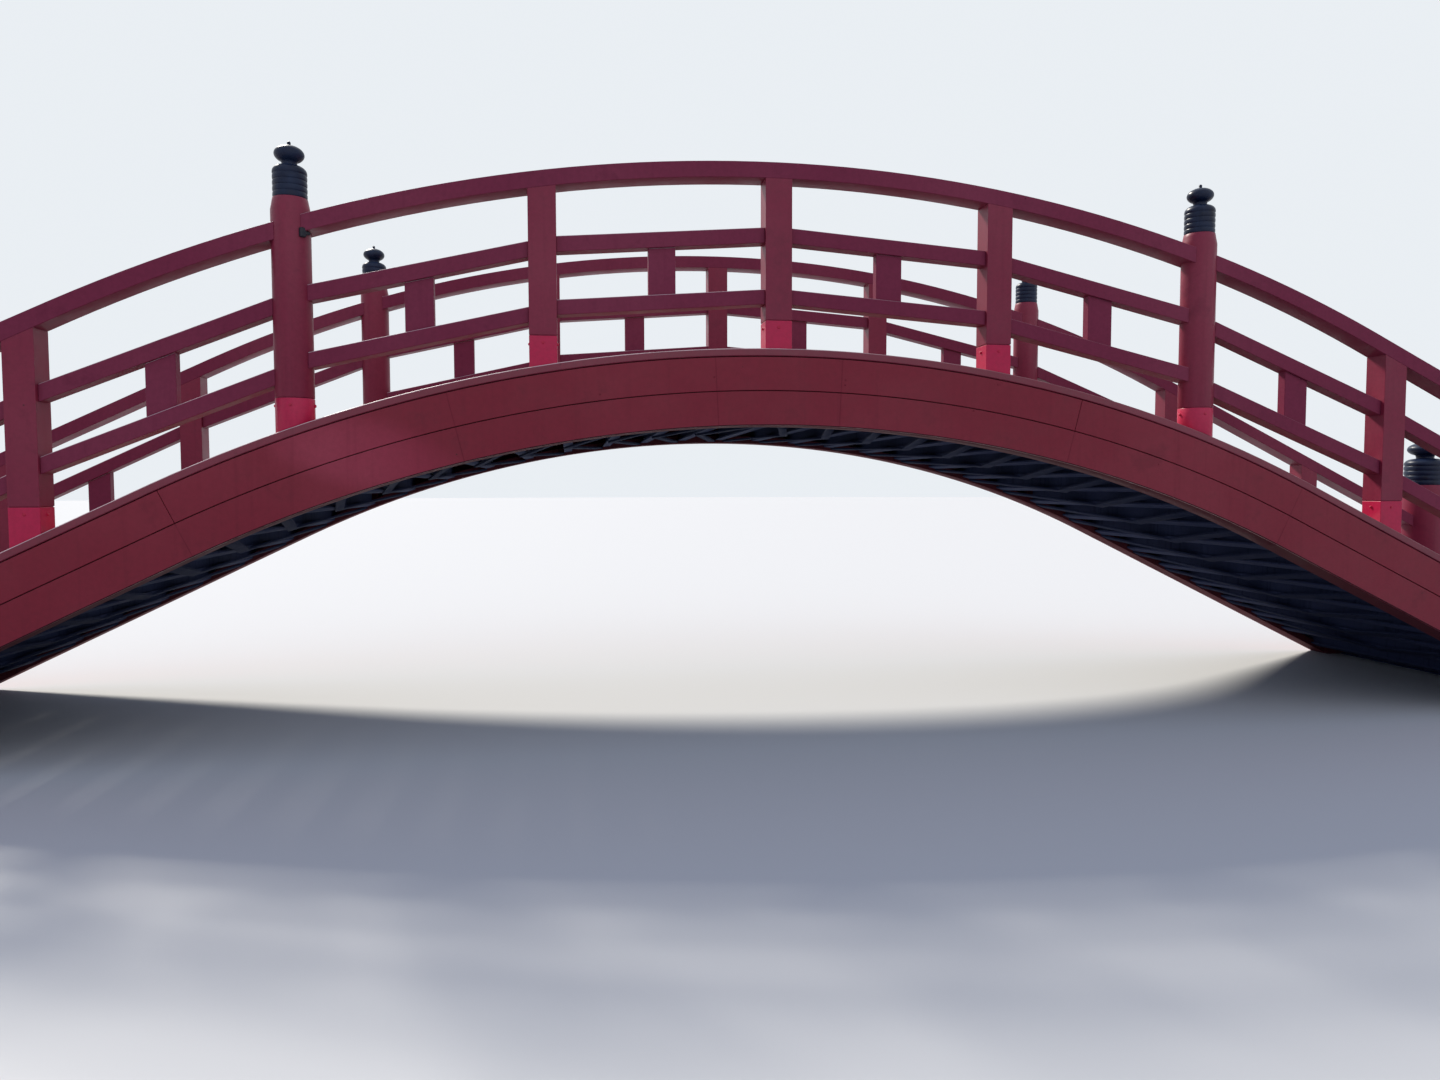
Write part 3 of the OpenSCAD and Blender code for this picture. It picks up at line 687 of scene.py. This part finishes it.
def patina():
    """Old casting: dark slate skin, paler and blacker in patches, with pale runs, dust on what
    looks up, and a sand-cast grain."""
    tree, given, out = new_group(
        "patina",
        {"Skin": (0.02, 0.025, 0.04), "Pale": (0.08, 0.1, 0.12), "Black": (0.008, 0.009, 0.012),
         "Gloss": 0.4})
    place = object_place(tree)
    wide = cloud(tree, place, 9.0, 5.0, 0.6)
    runs = cloud(tree, stretch(tree, place, (60.0, 60.0, 6.0)), 1.0, 4.0, 0.6)
    grain = cloud(tree, place, 160.0, 4.0, 0.6)
    colour = blend(tree, ease(tree, wide, 0.45, 0.70, 0.0, 0.8), given["Skin"], given["Pale"])
    colour = blend(tree, ease(tree, runs, 0.55, 0.75, 0.0, 0.5), colour, given["Pale"])
    colour = blend(tree, ease(tree, wide, 0.45, 0.25), colour, given["Black"])
    up = ease(tree, facing(tree)[2], 0.5, 1.0, 0.0, 0.35)
    colour = blend(tree, up, colour, given["Pale"])
    feed(out["Colour"], colour)
    dull = ease(tree, wide, 0.3, 0.7, -0.05, 0.15)
    feed(out["Roughness"], sums(tree, "ADD", given["Gloss"], dull))
    feed(out["Height"], sums(tree, "ADD", sums(tree, "MULTIPLY", grain, 0.35), wide))
    return tree


cap_iron = finish("cap_iron", patina(), {
    "Skin": (0.006, 0.012, 0.036), "Pale": (0.018, 0.030, 0.066), "Black": (0.003, 0.005, 0.015),
    "Gloss": 0.33}, bump=(0.4, 0.0012), Specular_IOR_Level=0.20)


def oval(r, z, wide, high, start, end, n):
    """n points (r, z) of an ellipse round r, z with the half axes wide and high, from the start
    to the end angle in degrees: wide times the cosine and high times the sine."""
    a = np.radians(np.linspace(start, end, n))
    return np.stack([r + wide * np.cos(a), z + high * np.sin(a)], -1)


def cap_outline(d, tall):
    """Half outline (r, z) of a cap for a post of diameter d, from the bottom to the tip, drawn
    in millimetres for a post of drawn_d: d over drawn_d scales it, and tall its heights."""
    drawn_d, r, beads, bead, groove, land = 200, 87.0, 4, 31.0, 3.6, 1.2
    body = beads * bead
    top = body + 154
    round_beads = [oval(r - groove, (g + 0.5) * bead, groove, bead / 2 - land, -90, 90, 15)
                   for g in range(beads)]
    shoulder = oval(r - 46, body + 12, 46, 36, 0, 90, 12)
    cove = oval(42, body + 54, 4, 6, -90, -180, 7)
    neck = [[38, body + 56.0], [38.5, body + 59.5]]
    bulb = oval(0, body + 108, 76, 46, -57, 79, 30)
    collar = [[17, top - 0.5], [12, top + 2.0], [9, top + 5.0]]
    tip = oval(2, top + 13.5, 7.5, 9, 0, 90, 7)
    line = np.concatenate([[[r - groove, 0]], *round_beads, [[r - groove, body + 1.5]],
                           [[r, body + 5]], shoulder, cove, neck, bulb, collar, tip])
    return line * [d / drawn_d, d / drawn_d * tall]


def make_caps(name, places, d, tall, stands_for, sides=64):
    """The outline turned round each post's axis, with a small flat face at both poles."""
    foot_r, pole_r, pole_rise = 0.004, 0.0015, 0.0006
    line = cap_outline(d, tall)
    line = np.concatenate([[[foot_r, 0.0]], line, [[pole_r, line[-1, 1] + pole_rise]]])
    t = np.linspace(0, 2 * pi, sides, endpoint=False)
    x, y = line[:, None, 0] * np.cos(t), line[:, None, 0] * np.sin(t)
    z = np.broadcast_to(line[:, None, 1], x.shape)
    rings = np.asarray(places)[:, None, None, :] + np.stack([x, y, z], -1)[None]
    crisp(put(name, rings, cap_iron, stands_for=stands_for), 62)


cap_rise, end_x, end_z, end_d, end_tall = 1.196, 6.40537, 1.480, 0.360, 0.76
cap_x, cap_z = 2 * bay, float(line_z(2 * bay)) + cap_rise
make_caps("front_caps", [[s * cap_x, -track / 2, cap_z] for s in (-1, 1)], round_d, 1.0,
          ["front_finials"])
make_caps("rear_caps", [[s * cap_x, track / 2, cap_z] for s in (-1, 1)], round_d, 1.0,
          ["rear_finials"])
make_caps("end_caps", [[s * end_x, t * track / 2, end_z] for s in (-1, 1) for t in (-1, 1)],
          end_d, end_tall, ["end_finials"])


# Rails and struts: closed steel box sections. The handrail is bent to the arc and runs over
# the square posts; the middle and lower rails are straight lengths from post to post.

# The rails' long edges carry the painted highlight, a pale line that fades to the right.
rail_paint = finish("rail_paint", coat, {
    "Paint": (0.210, 0.027, 0.062), "Faded": (0.245, 0.040, 0.076), "Deep": (0.162, 0.019, 0.048),
    "Dust": (0.50, 0.25, 0.25), "Rust": (0.045, 0.012, 0.014), "Runs": 0.25, "Dusting": 0.5,
    "Specks": 0.8, "Gloss": 0.40, "Highlight": (0.80, 0.60, 0.62), "Highlighting": 0.8},
    bump=(0.35, 0.004), Specular_IOR_Level=0.10)
dress(["front_top_rail", "rear_top_rail"], rail_paint, edge=0.0060, steps=3)
dress(["front_mid_rails", "rear_mid_rails", "front_low_rails", "rear_low_rails",
       "front_struts", "rear_struts"], rail_paint, edge=0.0035)


# Feet: square granite plinths under the end posts, and a level concrete slab with a broomed
# top that meets the last step at each end.

def rough_stone():
    """Cut stone or concrete: crystals or sand in two tones and dark grains, water marks near
    the ground, and a pitted surface."""
    tree, given, out = new_group(
        "rough_stone",
        {"Stone": (0.5, 0.5, 0.48), "Light": (0.6, 0.6, 0.58), "Grain": (0.15, 0.15, 0.15),
         "Size": 120.0, "Broom": 0.0})
    place = object_place(tree)
    n = tree.nodes.new("ShaderNodeTexVoronoi")
    feed(n.inputs["Vector"], place)
    feed(n.inputs["Scale"], given["Size"])
    split = tree.nodes.new("ShaderNodeSeparateColor")
    feed(split.inputs[0], n.outputs["Color"])
    wide = cloud(tree, place, 3.0, 5.0, 0.6)
    fine = cloud(tree, place, 70.0, 5.0, 0.65)
    colour = blend(tree, split.outputs[0], given["Stone"], given["Light"])
    grains = ease(tree, split.outputs[1], 0.84, 0.90, 0.0, 0.7)
    colour = blend(tree, grains, colour, given["Grain"])
    colour = blend(tree, 1.0, colour, ease(tree, wide, 0.3, 0.7, 0.78, 1.08), "MULTIPLY")
    where = tree.nodes.new("ShaderNodeSeparateXYZ")
    feed(where.inputs[0], place)
    low = sums(tree, "ADD", where.outputs[2], sums(tree, "MULTIPLY", wide, -0.04))
    colour = blend(tree, ease(tree, low, 0.02, -0.015, 0.0, 0.6), colour, given["Grain"])
    broom = cloud(tree, stretch(tree, place, (3.0, 260.0, 3.0)), 1.0, 2.0, 0.5)
    height = sums(tree, "ADD", sums(tree, "MULTIPLY", broom, given["Broom"]), fine)
    feed(out["Colour"], colour)
    feed(out["Roughness"], ease(tree, fine, 0.3, 0.7, 0.68, 0.86))
    feed(out["Height"], height)
    return tree


stone = rough_stone()
granite = finish("granite", stone, {
    "Stone": (0.36, 0.35, 0.34), "Light": (0.50, 0.49, 0.47), "Grain": (0.10, 0.10, 0.105),
    "Size": 220.0}, bump=(0.6, 0.0012), Specular_IOR_Level=0.35)
concrete = finish("concrete", stone, {
    "Stone": (0.40, 0.39, 0.37), "Light": (0.44, 0.43, 0.41), "Grain": (0.22, 0.21, 0.20),
    "Size": 420.0, "Broom": 1.0}, bump=(0.6, 0.0012), Specular_IOR_Level=0.3)
dress(["plinths"], granite, edge=0.006, steps=3)
dress(["left_landing", "right_landing"], concrete, edge=0.005, steps=3)


# Studio: pale floor, even light from the whole sky, and a soft key from behind on the left,
# where it stands in the photograph. The camera stands where the photograph was taken.

def seen_share(tree):
    """1 for what the camera, a reflection or a view through something sees, 0 for the light
    that surfaces throw on each other."""
    path = tree.nodes.new("ShaderNodeLightPath").outputs
    seen = sums(tree, "MAXIMUM", path["Is Camera Ray"], path["Is Glossy Ray"])
    return sums(tree, "MAXIMUM", seen, path["Is Transmission Ray"])


def floor_finish():
    """Matt floor, pale to the camera, while it throws back less light on the bridge."""
    m = bpy.data.materials.new("pale_floor")
    m.use_nodes = True
    shader = m.node_tree.nodes["Principled BSDF"]
    shader.inputs["Roughness"].default_value = 0.9
    shader.inputs["Specular IOR Level"].default_value = 0.1
    feed(shader.inputs["Base Color"],
         blend(m.node_tree, seen_share(m.node_tree), (0.29, 0.30, 0.33), (0.66, 0.66, 0.655)))
    return m


floor_r, floor_z, floor_n = 120, -0.0005, 64
disc = bpy.data.meshes.new("floor")
t = np.linspace(0, 2 * pi, floor_n, endpoint=False)
rim = np.stack([floor_r * np.cos(t), floor_r * np.sin(t), np.full(floor_n, floor_z)], -1)
disc.from_pydata(rim.tolist(), [], [list(range(floor_n))])
disc.materials.append(floor_finish())
floor = bpy.data.objects.new("floor", disc)
bpy.context.scene.collection.objects.link(floor)
floor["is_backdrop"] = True

world = bpy.data.worlds.new("studio")
bpy.context.scene.world = world
world.use_nodes = True
tree = world.node_tree
tree.nodes.clear()
back = tree.nodes.new("ShaderNodeBackground")
feed(back.inputs["Color"], blend(tree, seen_share(tree), (0.36, 0.42, 0.57), (0.82, 0.86, 0.90)))
surface = tree.nodes.new("ShaderNodeOutputWorld")
feed(surface.inputs["Surface"], back.outputs[0])


def axes_at(x, y, z, at):
    """Matrix that puts an object at a place, with its own axes along x, y and z."""
    return Matrix(np.vstack([np.stack([x, y, z, at], -1), [0, 0, 0, 1]]).tolist())


def sun(name, toward, strength, angle, colour):
    """Parallel light that comes from the direction toward, softened over the angle in degrees.
    The lamp's own Z points there, and its X is square to that and nearly to Y."""
    lamp = bpy.data.lights.new(name, "SUN")
    lamp.energy, lamp.angle, lamp.color = strength, radians(angle), colour
    o = bpy.data.objects.new(name, lamp)
    z = np.array(toward, float) / np.linalg.norm(toward)
    x = np.cross([0, 1.0, 0.01], z)
    x /= np.linalg.norm(x)
    o.matrix_world = axes_at(x, np.cross(z, x), z, (0, 0, lamp_z))
    bpy.context.scene.collection.objects.link(o)


lamp_z = 8
sun("key", (-0.336, 0.688, 0.643), 4.4, 10, (1.0, 0.95, 0.86))
sun("fill", (0.30, -0.85, 0.30), 0.4, 70, (1.0, 0.98, 0.98))

# The camera looks along +Y turned by yaw to the right, by pitch down and by roll about its view.
yaw, pitch, roll = 0.15049, 0.05479, 0.00173
stand, focal_px, photo_px, film = (-1.17158, -6.73962, 1.48751), 996.07, 1440, 36.0
forward = np.array([sin(yaw) * cos(pitch), cos(yaw) * cos(pitch), -sin(pitch)])
right = np.array([cos(yaw), -sin(yaw), 0.0])
down = np.cross(forward, right)
right, down = cos(roll) * right + sin(roll) * down, cos(roll) * down - sin(roll) * right
lens = bpy.data.cameras.new("camera")
lens.sensor_width, lens.lens, lens.clip_end = film, film * focal_px / photo_px, 500
camera = bpy.data.objects.new("camera", lens)
camera.matrix_world = axes_at(right, -down, -forward, stand)
bpy.context.scene.collection.objects.link(camera)
bpy.context.scene.camera = camera
bpy.context.scene.view_settings.view_transform = "Standard"

low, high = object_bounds()
